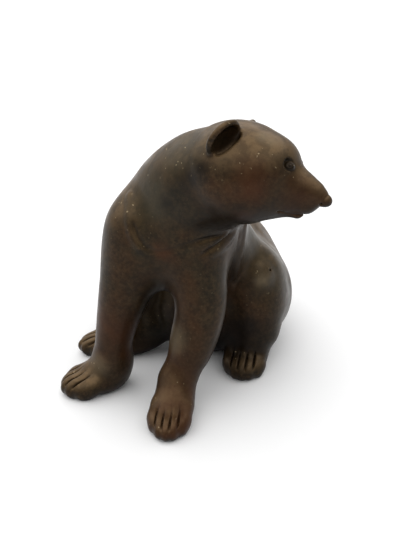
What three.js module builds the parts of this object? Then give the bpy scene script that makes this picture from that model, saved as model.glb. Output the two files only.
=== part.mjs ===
// A bronze sculpture of a seated bear that turns its head to its left. Millimetres.
// +Z is up, the bear's chest faces -Y and its left side is +X.
// It is one casting: rounded masses melt into each other, toes, eyes and folds are pressed in,
// and the soles and the seat are flat where they rest.

import * as THREE from 'three';

// Fineness of the surface
const sampleStep = 2.1;
const triangleLimit = 9000;
const blockSteps = 8;
const marginSteps = 2;
const groundMarginSteps = 2.5;
const steepest = 1.3;
const far = 1000;
const groundSnap = 0.25;
const edgeWeight = 5e-3;
const flatness = 1e-6;
const leastTurn = 0.3;
const leastWidth = 0.01;

// Fineness of the curves through the limbs
const stationsPerSpan = 3;
const curveRounds = 2;
const leastSpeed = 0.3;
const tiny = 1e-9;

// Trunk. Joints are the middle of a limb and its radius there
const rump = { centre: [-3, 8, 57], axis: [1, 0, 0], radii: [69, 68, 63], blend: 30 };
const back = { joints: [[-5, -4, 78, 50], [20, -95, 155, 47]], blend: 34 };
const chest = { centre: [26, -113, 160], axis: [0, -1, 0], radii: [50, 45, 60], blend: 28 };
const belly = { centre: [16, -46, 42], axis: [0, -1, 0.2], radii: [56, 58, 50], blend: 24 };
const flank = { joints: [[42, -94, 148, 34], [48, -60, 113, 34.5], [49, -32, 82, 31]], blend: 20 };
const neck = { joints: [[28, -105, 165, 44.5], [55, -122, 204.5, 48], [94, -134, 231, 42]], blend: 28 };

// Head: places on it are forward, to the bear's left and up from its centre
const headPlace = { centre: [116, -138, 233], yaw: 97, pitch: -6, roll: -12 };
const skull = { centre: [0, 0, 0], radii: [33, 35, 36], blend: 20 };
const brow = { centre: [17, 0, 9.5], radii: [19, 26, 22.5], blend: 12 };
const muzzle = {
  joints: [
    [14, 0, -2.5, 27.5],
    [35, 0, -2, 18.8],
    [50, 0, -3.2, 12.2],
    [57, 0, -4.5, 8.6],
    [61, 0, -5.3, 6],
    [62.8, 0, -5.8, 4.2],
  ],
  blend: 6,
};
const lip = { joints: [[18, 0, -13, 16], [47.5, 0, -13, 8]], blend: 8 };
const jaw = { joints: [[10, 0, -20, 13], [41.5, 0, -20.5, 6]], blend: 3 };
const nose = { centre: [60, 0, -6.8], radii: [6.5, 5, 3], blend: 5 };
const eye = { centre: [32.2, 16.4, 17.8], outward: [0.4, 0.72, 0.56], lidLine: [0.9, -0.35, -0.1] };
const socket = { radii: [7.6, 5.6, 3], blend: 1.2 };
const eyeball = { radius: 5.2, depth: 5.4, blend: 0.6 };
const mouth = {
  joints: [
    [29, -13, -21, 1],
    [38, -8, -23, 1.2],
    [46, -4, -22, 1.2],
    [48, 0, -21, 1.2],
    [46, 4, -22, 1.2],
    [38, 8, -23, 1.2],
    [29, 13, -21, 1],
  ],
  blend: 1,
};
const nostril = { centre: [61.5, 5, -7], radii: [2.4, 1.3, 1.3], blend: 0.8 };
const ear = { centre: [-23.5, 27, 28.5], along: [0.46, -0.42, 0.78], outward: [-0.1, 0.8, 0.6] };
const earShell = { radii: [17, 13.5, 6], blend: 4 };
const earHollow = { radii: [14.5, 11, 6], shift: 5, blend: 2 };
const sides = [{ side: -1, earDrop: 0 }, { side: 1, earDrop: 5.5 }];

// Hind legs, left and right
const hindLegs = [
  {
    thigh: { centre: [61, -20, 53], axis: [0.45, -1, 0.5], radii: [60, 38, 45], blend: 28 },
    shin: { joints: [[74, -48, 90, 24], [80, -56, 62, 23], [82, -60, 36, 20]], blend: 20 },
    foot: { heel: [72, -50, 0], yaw: 18, length: 55.5, width: 42, height: 31 },
  },
  {
    thigh: { centre: [-52, -30, 62], axis: [-0.1, -1, 0.5], radii: [66, 38, 44], blend: 20 },
    shin: { joints: [[-42, -86, 94, 26], [-34, -92, 62, 23], [-26, -94, 34, 18]], blend: 16 },
    foot: { heel: [-15, -84, 0], yaw: -51, length: 84, width: 42, height: 34 },
  },
];

// Front legs, left and right, from the shoulder to the wrist
const frontLegBlend = 19;
const frontLegs = [
  {
    joints: [[49, -133, 160, 31], [66, -140.5, 106, 24], [63, -151, 62, 21], [55.5, -165.5, 28, 15.5]],
    foot: { heel: [51.5, -159.5, 0], yaw: 22, length: 67, width: 39.5, height: 31 },
  },
  {
    joints: [[7, -141, 159, 36], [-3, -159, 106, 25], [-12, -166, 62, 18.5], [-16, -168, 28, 17.5]],
    foot: { heel: [-12, -156, 0], yaw: -35, length: 62.5, width: 44, height: 31 },
  },
];

// Paws: ahead is a share of the reach, aside of the distance between toes, high of the height
const paw = {
  toes: 5,
  outerToeShorter: 0.19,
  ankleInset: 1,
  blend: 13,
  instep: { ahead: 0.36, high: 0.5, radius: 0.45 },
  pad: { ahead: 0.42, high: 0.34, radii: [0.46, 0.47, 0.42] },
};
const toe = {
  root: { ahead: 0.5, aside: 0.8, high: 0.48, radius: 0.62 },
  knuckle: { ahead: 0.8, aside: 0.88, high: 0.36, radius: 0.7 },
  tip: { ahead: 0.87, aside: 0.87, high: 0.25, radii: [0.15, 0.62, 0.28] },
  blend: 6,
};
const toeGroove = {
  start: { ahead: 0.68, aside: 0.85, high: 0.74 },
  end: { ahead: 1.1, aside: 0.9, high: 0.44 },
  width: 1.5,
  drop: 0.22,
  blend: 1.5,
};

// Folds in the skin: raised ones, then pressed ones, and the bump of the left knee
const ridgeBlend = 5;
const ridges = {
  rightShoulder: [
    [4, -154, 197, 2],
    [11, -165.5, 186, 3],
    [14, -170, 178, 3],
    [19.5, -172.5, 168, 3],
    [25.5, -172.2, 159.5, 2.5],
    [30, -168, 151, 0],
  ],
  upperThroat: [[74.4, -152.8, 165.3, 3], [80.5, -146.1, 169.9, 4], [86.8, -138.3, 175.2, 4]],
  lowerThroat: [
    [78.5, -145.6, 156.5, 3],
    [81.9, -137.2, 159.5, 4],
    [84.5, -128, 163.4, 4],
    [87.4, -124.2, 170, 4],
  ],
  flank: [
    [84, -95, 164, 3.5],
    [81, -92, 149.5, 4],
    [78, -91, 133.5, 4],
    [73.5, -88, 118.5, 4],
    [69.5, -82, 103, 3],
  ],
};
// A radius below zero only grazes the surface: the fold is as wide as its blend, and shallow
const creaseBlend = 6;
const creases = {
  neckBase: [
    [12, -166, 190, -3],
    [20.2, -174, 175, -0.6],
    [27.5, -175, 165, -0.4],
    [36.3, -173, 159, -0.6],
    [45.1, -171, 158.9, -1],
    [61.6, -166, 165.8, -1.2],
    [74.5, -158, 171.5, -0.6],
    [88, -143, 174, -0.6],
  ],
  throat: [[74, -158, 156, -3], [79, -151, 160, -0.5], [84, -143, 164.5, -0.2], [89, -134, 171, -0.4]],
  leftArm: [
    [92, -114, 173, -3],
    [87.3, -106.3, 161.7, -0.6],
    [85, -104.5, 152.5, -0.4],
    [82, -102, 140.8, -0.4],
    [78.9, -101.1, 130.5, -0.4],
    [73.9, -95.4, 116.4, -0.6],
    [68.4, -88.8, 101.5, -1],
    [64, -85, 88, -3],
  ],
  knee: [[77.5, -81, 108, -3], [76, -82.5, 104, -0.8], [73.1, -83.3, 97, -0.6], [70, -83.5, 86, -3]],
};
const knee = { centre: [85.3, -64, 99], axis: [0.66, -0.66, 0.36], radii: [11, 11, 12], blend: 10 };

const bronze = new THREE.MeshStandardMaterial({ color: 0x4a3b2e, roughness: 0.5, metalness: 0.8 });

const vector = (place) => new THREE.Vector3(...place);

function smoothMin(a, b, width) {
  const near = Math.max(width - Math.abs(a - b), 0) / width;
  return Math.min(a, b) - (near * near * width) / 4;
}

// Forward, left and up of something that looks yaw degrees to the bear's left and pitch degrees upwards.
function facing({ yaw, pitch = 0, roll = 0 }) {
  const turn = new THREE.Matrix4().makeRotationZ(THREE.MathUtils.degToRad(yaw));
  turn.multiply(new THREE.Matrix4().makeRotationX(THREE.MathUtils.degToRad(-pitch)));
  turn.multiply(new THREE.Matrix4().makeRotationY(THREE.MathUtils.degToRad(-roll)));
  return {
    forward: new THREE.Vector3(0, -1, 0).transformDirection(turn),
    left: new THREE.Vector3(1, 0, 0).transformDirection(turn),
    up: new THREE.Vector3(0, 0, 1).transformDirection(turn),
  };
}

// A joint past the end of a limb: straight on, and as wide as the one before the end.
function beyond(end, next) {
  const place = end.slice(0, 3).map((value, i) => 2 * value - next[i]);
  return [...place, next[3]];
}

// A smooth curve through joints, each the middle of a limb and its radius. It passes every joint,
// and its radius levels out at its ends.
class LimbPath {
  constructor(joints) {
    this.spans = joints.length - 1;
    const rows = [beyond(joints[0], joints[1]), ...joints, beyond(joints.at(-1), joints.at(-2))];
    this.terms = joints.slice(1).map((_, span) => {
      const [a, b, c, d] = rows.slice(span, span + 4);
      return b.map((value, i) => [
        value,
        (c[i] - a[i]) / 2,
        (2 * a[i] - 5 * value + 4 * c[i] - d[i]) / 2,
        (3 * value - a[i] - 3 * c[i] + d[i]) / 2,
      ]);
    });
    this.stations = [];
    for (let i = 0; i <= this.spans * stationsPerSpan; i += 1) {
      this.stations.push(this.valuesAt(i / stationsPerSpan));
    }
  }

  // Middle and radius at a share that counts the spans from the first joint.
  valuesAt(share) {
    const span = Math.min(Math.floor(share), this.spans - 1);
    const u = share - span;
    return this.terms[span].map(([k0, k1, k2, k3]) => k0 + u * (k1 + u * (k2 + u * k3)));
  }

  // The share nearest to a place: first on straight pieces, then on the curve itself.
  nearest(x, y, z) {
    let share = 0;
    let least = Infinity;
    for (let i = 1; i < this.stations.length; i += 1) {
      const [ax, ay, az] = this.stations[i - 1];
      const [bx, by, bz] = this.stations[i];
      const [sx, sy, sz] = [bx - ax, by - ay, bz - az];
      const along = (x - ax) * sx + (y - ay) * sy + (z - az) * sz;
      const u = Math.min(Math.max(along / (sx * sx + sy * sy + sz * sz), 0), 1);
      const away = (x - ax - u * sx) ** 2 + (y - ay - u * sy) ** 2 + (z - az - u * sz) ** 2;
      if (away < least) [least, share] = [away, (i - 1 + u) / stationsPerSpan];
    }
    for (let round = 0; round < curveRounds; round += 1) share = this.closer(share, x, y, z);
    return share;
  }

  // One step of Newton's method towards the nearest share.
  closer(share, x, y, z) {
    const span = Math.min(Math.floor(share), this.spans - 1);
    const u = share - span;
    const place = [x, y, z];
    let slip = 0;
    let speed = 0;
    let bending = 0;
    for (let axis = 0; axis < 3; axis += 1) {
      const [k0, k1, k2, k3] = this.terms[span][axis];
      const off = k0 + u * (k1 + u * (k2 + u * k3)) - place[axis];
      const slope = k1 + u * (2 * k2 + 3 * u * k3);
      slip += off * slope;
      speed += slope * slope;
      bending += off * (2 * k2 + 6 * u * k3);
    }
    const next = share - slip / Math.max(speed + bending, leastSpeed * speed);
    return Math.min(Math.max(next, 0), this.spans);
  }
}

// Clay holds lumps, each with its distance to a place, and melts them together in order.
// A carving lump is taken away instead.
class Clay {
  constructor() {
    this.lumps = [];
  }

  // An ellipsoid with radii along its axis, across it and towards up.
  egg({ centre, axis, radii, blend, up = new THREE.Vector3(0, 0, 1), carve = false }) {
    const along = axis.clone().normalize();
    const across = up.clone().cross(along).normalize();
    const upward = along.clone().cross(across);
    const axes = [along, across, upward];
    const distance = (x, y, z) => {
      const [dx, dy, dz] = [x - centre.x, y - centre.y, z - centre.z];
      let near = 0;
      let nearer = 0;
      for (let i = 0; i < 3; i += 1) {
        const share = (dx * axes[i].x + dy * axes[i].y + dz * axes[i].z) / radii[i];
        near += share * share;
        nearer += (share * share) / (radii[i] * radii[i]);
      }
      const length = Math.sqrt(near);
      return (length * (length - 1)) / Math.max(Math.sqrt(nearer), tiny);
    };
    this.lumps.push({ distance, middle: centre, reach: Math.max(...radii), blend, carve });
  }

  // A limb along a smooth curve through its joints.
  limb({ joints, blend, carve = false }) {
    const path = new LimbPath(joints);
    const distance = (x, y, z) => {
      const [px, py, pz, radius] = path.valuesAt(path.nearest(x, y, z));
      return Math.hypot(x - px, y - py, z - pz) - radius;
    };
    const box = new THREE.Box3().setFromPoints(path.stations.map(([x, y, z]) => new THREE.Vector3(x, y, z)));
    const middle = box.getCenter(new THREE.Vector3());
    const thickest = Math.max(...path.stations.map((station) => station[3]));
    const reach = box.getSize(new THREE.Vector3()).length() / 2 + thickest;
    this.lumps.push({ distance, middle, reach, blend, carve });
  }

  near(place, radius) {
    return this.lumps.filter(({ middle, reach, blend }) => middle.distanceTo(place) < reach + radius + blend);
  }

  box() {
    const box = new THREE.Box3();
    for (const { middle, reach, carve } of this.lumps) {
      const size = new THREE.Vector3().setScalar(2 * reach);
      if (!carve) box.union(new THREE.Box3().setFromCenterAndSize(middle, size));
    }
    return box;
  }
}

// Below zero inside the casting, which ends at the ground.
function depthAt(lumps, x, y, z) {
  let depth = far;
  for (const { distance, blend, carve } of lumps) {
    const away = distance(x, y, z);
    depth = carve ? -smoothMin(-depth, away, blend) : smoothMin(depth, away, blend);
  }
  return Math.max(depth, -z);
}

function addEgg(clay, { centre, axis, ...rest }) {
  clay.egg({ centre: vector(centre), axis: vector(axis), ...rest });
}

function addTrunk(clay) {
  addEgg(clay, rump);
  clay.limb(back);
  addEgg(clay, chest);
  addEgg(clay, belly);
  clay.limb(flank);
  clay.limb(neck);
}

// Turns directions and places on the head, mirrored for its right side, into the casting's own.
function headMap(side) {
  const { forward, left, up } = facing(headPlace);
  const direction = ([ahead, aside, high]) => new THREE.Vector3()
    .addScaledVector(forward, ahead)
    .addScaledVector(left, side * aside)
    .addScaledVector(up, high);
  const place = (offset) => direction(offset).add(vector(headPlace.centre));
  const limb = ({ joints, blend }) => ({
    joints: joints.map((joint) => [...place(joint), joint[3]]),
    blend,
  });
  return { forward, up, direction, place, limb };
}

function addHead(clay) {
  const { forward, up, place, limb } = headMap(1);
  for (const part of [skull, brow]) {
    clay.egg({ ...part, centre: place(part.centre), axis: forward, up });
  }
  for (const part of [muzzle, lip, jaw]) clay.limb(limb(part));
  clay.egg({ ...nose, centre: place(nose.centre), axis: forward, up });
  clay.limb({ ...limb(mouth), carve: true });
  for (const { side, earDrop } of sides) {
    addEye(clay, headMap(side));
    addNostril(clay, headMap(side));
    addEar(clay, headMap(side), side, earDrop);
  }
}

function addEye(clay, { direction, place }) {
  const outward = direction(eye.outward).normalize();
  const centre = place(eye.centre);
  clay.egg({ ...socket, centre, axis: direction(eye.lidLine), up: outward, carve: true });
  clay.egg({
    centre: centre.clone().addScaledVector(outward, -eyeball.depth),
    axis: direction(eye.lidLine),
    radii: [eyeball.radius, eyeball.radius, eyeball.radius],
    blend: eyeball.blend,
  });
}

function addNostril(clay, { forward, up, place }) {
  clay.egg({ ...nostril, centre: place(nostril.centre), axis: forward, up, carve: true });
}

// A shell on the side of the head, hollowed towards the front.
function addEar(clay, { direction, place }, side, earDrop) {
  const along = direction(ear.along);
  const face = direction(ear.outward).cross(along).multiplyScalar(side).normalize();
  const centre = place(ear.centre);
  centre.z -= earDrop;
  clay.egg({ ...earShell, centre, axis: along, up: face });
  const hollowCentre = centre.clone().addScaledVector(face, earHollow.shift);
  clay.egg({ ...earHollow, centre: hollowCentre, axis: along, up: face, carve: true });
}

// A paw flat on the ground: instep, pad, toes side by side and the grooves between them.
function addPaw(clay, ankle, { heel, yaw, length, width, height }) {
  const { forward, left } = facing({ yaw });
  const pitch = width / paw.toes;
  const at = ({ ahead, aside = 0, high }, row = 0) => {
    const reach = length * (1 - paw.outerToeShorter * (row / 2) ** 2);
    return vector(heel)
      .addScaledVector(forward, ahead * reach)
      .addScaledVector(left, aside * row * pitch)
      .add(vector([0, 0, high * height]));
  };
  const ankleJoint = [...ankle.slice(0, 3), ankle[3] - paw.ankleInset];
  const instepJoint = [...at(paw.instep), height * paw.instep.radius];
  clay.limb({ joints: [ankleJoint, instepJoint], blend: paw.blend });
  const sized = ([long, wide, tall], across) => [long * length, wide * across, tall * height];
  clay.egg({ centre: at(paw.pad), axis: forward, radii: sized(paw.pad.radii, width), blend: paw.blend });
  for (let row = (1 - paw.toes) / 2; row < paw.toes / 2; row += 1) {
    const joints = [toe.root, toe.knuckle].map((joint) => [...at(joint, row), pitch * joint.radius]);
    clay.limb({ joints, blend: toe.blend });
    const radii = sized(toe.tip.radii, pitch);
    clay.egg({ centre: at(toe.tip, row), axis: forward, radii, blend: toe.blend });
  }
  for (let row = 1 - paw.toes / 2; row < paw.toes / 2 - 0.5; row += 1) {
    const start = at(toeGroove.start, row);
    const end = at(toeGroove.end, row);
    const radii = [start.distanceTo(end) / 2, toeGroove.width, toeGroove.drop * height];
    const centre = start.clone().lerp(end, 0.5);
    clay.egg({ centre, axis: end.sub(start), radii, blend: toeGroove.blend, carve: true });
  }
}

function addHindLeg(clay, { thigh, shin, foot }) {
  addEgg(clay, thigh);
  clay.limb(shin);
  addPaw(clay, shin.joints.at(-1), foot);
}

function addFrontLeg(clay, { joints, foot }) {
  clay.limb({ joints, blend: frontLegBlend });
  addPaw(clay, joints.at(-1), foot);
}

function addFolds(clay) {
  addEgg(clay, knee);
  for (const joints of Object.values(ridges)) clay.limb({ joints, blend: ridgeBlend });
  for (const joints of Object.values(creases)) clay.limb({ joints, blend: creaseBlend, carve: true });
}

// Samples of the depth on a cubic grid. Blocks that the surface can't reach hold one value.
function sampleDepth(clay, step) {
  const box = clay.box();
  const origin = box.min.clone().subScalar(marginSteps * step);
  origin.z = -groundMarginSteps * step;
  const span = blockSteps * step;
  const blocks = box.max.clone().addScalar(marginSteps * step).sub(origin).divideScalar(span).ceil();
  const size = [blocks.x, blocks.y, blocks.z].map((count) => count * blockSteps + 1);
  const strides = [1, size[0], size[0] * size[1]];
  const depth = new Float64Array(size[0] * size[1] * size[2]).fill(far);
  const half = (span * Math.sqrt(3)) / 2;
  const fill = (i, j, k, valueAt) => {
    for (let c = k; c <= k + blockSteps; c += 1) {
      for (let b = j; b <= j + blockSteps; b += 1) {
        for (let a = i; a <= i + blockSteps; a += 1) {
          depth[a + b * strides[1] + c * strides[2]] = valueAt(a, b, c);
        }
      }
    }
  };
  for (let k = 0; k < size[2] - 1; k += blockSteps) {
    for (let j = 0; j < size[1] - 1; j += blockSteps) {
      for (let i = 0; i < size[0] - 1; i += blockSteps) {
        const middle = new THREE.Vector3(i, j, k).multiplyScalar(step).addScalar(span / 2).add(origin);
        const lumps = clay.near(middle, half);
        const value = depthAt(lumps, middle.x, middle.y, middle.z);
        if (Math.abs(value) > half * steepest + step) {
          fill(i, j, k, () => value);
        } else {
          fill(i, j, k, (a, b, c) => (
            depthAt(lumps, origin.x + a * step, origin.y + b * step, origin.z + c * step)
          ));
        }
      }
    }
  }
  return { origin, step, size, strides, depth };
}

// The six tetrahedra of a cube that share its long diagonal, as corners numbered by bits x, y and z.
const tetrahedra = [[0, 1, 3, 7], [0, 3, 2, 7], [0, 2, 6, 7], [0, 6, 4, 7], [0, 4, 5, 7], [0, 5, 1, 7]];

// The same corners with an even number of swaps, so that the tetrahedron keeps its handedness.
function evenOrder(order) {
  let swaps = 0;
  for (let i = 0; i < order.length; i += 1) {
    for (let j = i + 1; j < order.length; j += 1) {
      if (order[i] > order[j]) swaps += 1;
    }
  }
  const [first, second, third, fourth] = order;
  return swaps % 2 === 0 ? order : [first, second, fourth, third];
}

// Marching tetrahedra: a closed surface where the depth is zero, each vertex made once.
function surfaceOf({ origin, step, size, strides, depth }) {
  const positions = [];
  const triangles = [];
  const vertexOnEdge = new Map();
  const offsets = Array.from({ length: 8 }, (_, corner) => (
    (corner & 1) * strides[0] + ((corner >> 1) & 1) * strides[1] + ((corner >> 2) & 1) * strides[2]
  ));
  const placeOf = (index) => [
    index % strides[1],
    Math.floor(index / strides[1]) % size[1],
    Math.floor(index / strides[2]),
  ];
  const vertexBetween = (a, b) => {
    const [low, high] = a < b ? [a, b] : [b, a];
    const key = low * 8 + offsets.indexOf(high - low);
    if (!vertexOnEdge.has(key)) {
      const share = depth[low] / (depth[low] - depth[high]);
      const from = placeOf(low);
      const to = placeOf(high);
      vertexOnEdge.set(key, positions.length / 3);
      for (let axis = 0; axis < 3; axis += 1) {
        const place = from[axis] + (to[axis] - from[axis]) * share;
        positions.push(origin.getComponent(axis) + place * step);
      }
    }
    return vertexOnEdge.get(key);
  };
  const addTetrahedron = (corners) => {
    const inside = [0, 1, 2, 3].filter((n) => depth[corners[n]] < 0);
    const outside = [0, 1, 2, 3].filter((n) => depth[corners[n]] >= 0);
    if (inside.length === 0 || outside.length === 0) return;
    const swapped = inside.length === 3;
    const order = evenOrder(swapped ? [...outside, ...inside] : [...inside, ...outside]);
    const [p, q, r, s] = order.map((n) => corners[n]);
    const loop = inside.length === 2
      ? [vertexBetween(p, r), vertexBetween(p, s), vertexBetween(q, s), vertexBetween(q, r)]
      : [vertexBetween(p, q), vertexBetween(p, r), vertexBetween(p, s)];
    if (swapped) loop.reverse();
    for (let i = 2; i < loop.length; i += 1) triangles.push(loop[0], loop[i - 1], loop[i]);
  };
  for (let k = 0; k < size[2] - 1; k += 1) {
    for (let j = 0; j < size[1] - 1; j += 1) {
      for (let i = 0; i < size[0] - 1; i += 1) {
        const base = i + j * strides[1] + k * strides[2];
        const first = depth[base] < 0;
        if (offsets.some((offset) => (depth[base + offset] < 0) !== first)) {
          for (const corners of tetrahedra) addTetrahedron(corners.map((corner) => base + offsets[corner]));
        }
      }
    }
  }
  return { positions, triangles };
}

// The least entry first.
class Heap {
  constructor() {
    this.entries = [];
  }

  push(entry) {
    const { entries } = this;
    let at = entries.length;
    while (at > 0) {
      const parent = (at - 1) >> 1;
      if (entries[parent].cost <= entry.cost) break;
      entries[at] = entries[parent];
      at = parent;
    }
    entries[at] = entry;
  }

  pop() {
    const { entries } = this;
    const least = entries[0];
    const last = entries.pop();
    const count = entries.length;
    let at = 0;
    while (count > 0) {
      let child = 2 * at + 1;
      if (child >= count) break;
      if (child + 1 < count && entries[child + 1].cost < entries[child].cost) child += 1;
      if (entries[child].cost >= last.cost) break;
      entries[at] = entries[child];
      at = child;
    }
    if (count > 0) entries[at] = last;
    return least;
  }
}

// Joins the ends of the edges that shape the surface least until the limit of triangles is met.
// Each vertex keeps the sum of its planes, as the ten different terms of a symmetric 4 by 4 matrix.
class Simplifier {
  constructor({ positions, triangles }) {
    this.places = Float64Array.from(positions);
    this.corners = Int32Array.from(triangles);
    this.left = triangles.length / 3;
    this.gone = new Uint8Array(this.left);
    this.around = Array.from({ length: positions.length / 3 }, () => []);
    this.planes = new Float64Array((positions.length / 3) * 10);
    this.versions = new Int32Array(positions.length / 3);
    this.heap = new Heap();
    for (let triangle = 0; triangle < this.left; triangle += 1) this.addTriangle(triangle);
  }

  cornersOf(triangle) {
    return [this.corners[3 * triangle], this.corners[3 * triangle + 1], this.corners[3 * triangle + 2]];
  }

  // Twice the triangle's area along its normal, with one corner moved if that is asked.
  normalOf(triangle, moved = -1, place = null) {
    const [a, b, c] = this.cornersOf(triangle).map((corner) => (
      corner === moved ? place : this.places.subarray(3 * corner, 3 * corner + 3)
    ));
    const [ux, uy, uz] = [b[0] - a[0], b[1] - a[1], b[2] - a[2]];
    const [vx, vy, vz] = [c[0] - a[0], c[1] - a[1], c[2] - a[2]];
    const longest = Math.max(ux * ux + uy * uy + uz * uz, vx * vx + vy * vy + vz * vz);
    return [uy * vz - uz * vy, uz * vx - ux * vz, ux * vy - uy * vx, longest];
  }

  addTriangle(triangle) {
    const [nx, ny, nz] = this.normalOf(triangle);
    const size = Math.hypot(nx, ny, nz);
    const corners = this.cornersOf(triangle);
    for (const corner of corners) this.around[corner].push(triangle);
    if (size === 0) return;
    const [px, py, pz] = this.places.subarray(3 * corners[0], 3 * corners[0] + 3);
    const plane = [nx / size, ny / size, nz / size, -(nx * px + ny * py + nz * pz) / size];
    let term = 0;
    for (let i = 0; i < 4; i += 1) {
      for (let j = i; j < 4; j += 1) {
        for (const corner of corners) this.planes[10 * corner + term] += plane[i] * plane[j] * size;
        term += 1;
      }
    }
  }

  // The place with the least error for an edge joined to one vertex. The ground keeps its own.
  queue(a, b) {
    const ofOther = this.planes.subarray(10 * b, 10 * b + 10);
    const sum = Array.from(this.planes.subarray(10 * a, 10 * a + 10), (value, term) => value + ofOther[term]);
    const from = Array.from(this.places.subarray(3 * a, 3 * a + 3));
    const to = Array.from(this.places.subarray(3 * b, 3 * b + 3));
    const length = Math.hypot(from[0] - to[0], from[1] - to[1], from[2] - to[2]);
    const middle = from.map((value, i) => (value + to[i]) / 2);
    const choices = [middle, from, to, leastError(sum)].filter((choice) => choice !== null);
    let best = null;
    for (const choice of choices) {
      if (from[2] === 0 || to[2] === 0 || choice[2] < 0) choice[2] = 0;
      const cost = errorAt(sum, choice) + edgeWeight * length * length;
      const drift = Math.hypot(choice[0] - middle[0], choice[1] - middle[1], choice[2] - middle[2]);
      if (drift <= length + sampleStep && (best === null || cost < best.cost)) best = { cost, place: choice };
    }
    this.heap.push({ ...best, a, b, version: this.versions[a] + this.versions[b] });
  }

  neighbours(vertex) {
    const found = new Set();
    for (const triangle of this.around[vertex]) {
      for (const corner of this.cornersOf(triangle)) if (corner !== vertex) found.add(corner);
    }
    return found;
  }

  queueAround(vertex) {
    for (const neighbour of this.neighbours(vertex)) if (vertex < neighbour) this.queue(vertex, neighbour);
  }

  // False where the surface would fold over or a triangle would become a sliver. A sliver's own
  // direction means little, so its surroundings stand in for it.
  staysSmooth(vertex, other, place) {
    const kept = this.around[vertex].filter((triangle) => !this.cornersOf(triangle).includes(other));
    const normals = this.around[vertex].map((triangle) => this.normalOf(triangle));
    const mean = [0, 1, 2].map((axis) => normals.reduce((sum, normal) => sum + normal[axis], 0));
    return kept.every((triangle) => {
      const old = this.normalOf(triangle);
      const next = this.normalOf(triangle, vertex, place);
      const oldShape = Math.hypot(old[0], old[1], old[2]) / old[3];
      const nextSize = Math.hypot(next[0], next[1], next[2]);
      const before = oldShape > leastWidth ? old : mean;
      const turn = before[0] * next[0] + before[1] * next[1] + before[2] * next[2];
      const keepsFacing = turn > leastTurn * Math.hypot(before[0], before[1], before[2]) * nextSize;
      const shape = nextSize / next[3];
      return keepsFacing && (shape > leastWidth || shape > oldShape);
    });
  }

  join(a, b, place) {
    this.places.set(place, 3 * a);
    for (const triangle of this.around[b]) {
      const corners = this.cornersOf(triangle);
      if (corners.includes(a)) {
        this.gone[triangle] = 1;
        this.left -= 1;
      } else {
        this.corners[3 * triangle + corners.indexOf(b)] = a;
        this.around[a].push(triangle);
      }
    }
    for (const vertex of [a, ...this.neighbours(b)]) {
      this.around[vertex] = this.around[vertex].filter((triangle) => this.gone[triangle] === 0);
    }
    this.around[b] = [];
    for (let term = 0; term < 10; term += 1) this.planes[10 * a + term] += this.planes[10 * b + term];
    this.versions[a] += 1;
    this.versions[b] = -1e9;
    for (const neighbour of this.neighbours(a)) this.queue(a, neighbour);
  }

  // An edge that can't be joined yet is tried again in a later round, when its surroundings have changed.
  run(limit) {
    let before = Infinity;
    while (this.left > limit && this.left < before) {
      before = this.left;
      this.around.forEach((_, vertex) => this.queueAround(vertex));
      this.joinEdges(limit);
    }
  }

  joinEdges(limit) {
    while (this.left > limit && this.heap.entries.length > 0) {
      const { a, b, place, version } = this.heap.pop();
      if (version === this.versions[a] + this.versions[b]) {
        const ofA = this.neighbours(a);
        const shared = [...this.neighbours(b)].filter((vertex) => ofA.has(vertex));
        if (shared.length === 2 && this.staysSmooth(a, b, place) && this.staysSmooth(b, a, place)) {
          this.join(a, b, place);
        }
      }
    }
  }

  geometry() {
    const number = new Map();
    const positions = [];
    const index = [];
    for (let i = 0; i < this.corners.length; i += 1) {
      if (this.gone[Math.floor(i / 3)] === 0) {
        const vertex = this.corners[i];
        if (!number.has(vertex)) {
          number.set(vertex, number.size);
          positions.push(...this.places.subarray(3 * vertex, 3 * vertex + 3));
        }
        index.push(number.get(vertex));
      }
    }
    const geometry = new THREE.BufferGeometry();
    geometry.setAttribute('position', new THREE.Float32BufferAttribute(positions, 3));
    geometry.setIndex(index);
    geometry.computeVertexNormals();
    return geometry;
  }
}

function errorAt(q, [x, y, z]) {
  return q[0] * x * x + 2 * q[1] * x * y + 2 * q[2] * x * z + 2 * q[3] * x
    + q[4] * y * y + 2 * q[5] * y * z + 2 * q[6] * y + q[7] * z * z + 2 * q[8] * z + q[9];
}

// The place where the error is least, or null where the surface is too flat to give one.
function leastError(q) {
  const matrix = new THREE.Matrix3(q[0], q[1], q[2], q[1], q[4], q[5], q[2], q[5], q[7]);
  const size = q[0] + q[4] + q[7];
  if (Math.abs(matrix.determinant()) < flatness * size ** 3) return null;
  return new THREE.Vector3(-q[3], -q[6], -q[8]).applyMatrix3(matrix.invert()).toArray();
}

const clay = new Clay();
addTrunk(clay);
addHead(clay);
for (const leg of hindLegs) addHindLeg(clay, leg);
for (const leg of frontLegs) addFrontLeg(clay, leg);
addFolds(clay);

const surface = surfaceOf(sampleDepth(clay, sampleStep));
for (let i = 2; i < surface.positions.length; i += 3) {
  if (Math.abs(surface.positions[i]) < groundSnap) surface.positions[i] = 0;
}
const simplifier = new Simplifier(surface);
simplifier.run(triangleLimit);
const bear = new THREE.Mesh(simplifier.geometry(), bronze);
bear.name = 'bear';

// The origin is under the middle of the casting, on the ground.
bear.geometry.computeBoundingBox();
const middle = bear.geometry.boundingBox.getCenter(new THREE.Vector3());
bear.position.set(-middle.x, -middle.y, 0);

const sculpture = new THREE.Group();
sculpture.add(bear);
export default sculpture;
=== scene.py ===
"""A patinated bronze of a seated bear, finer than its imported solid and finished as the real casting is.

The form is clay: eggs and limbs that melt into each other, with toes, eyes and folds pressed in.
Places are in millimetres in the sculptor's frame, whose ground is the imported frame's own:
the bear's chest faces -Y, its left side is +X and +Z is up.
"""
import math
from collections import namedtuple

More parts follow.
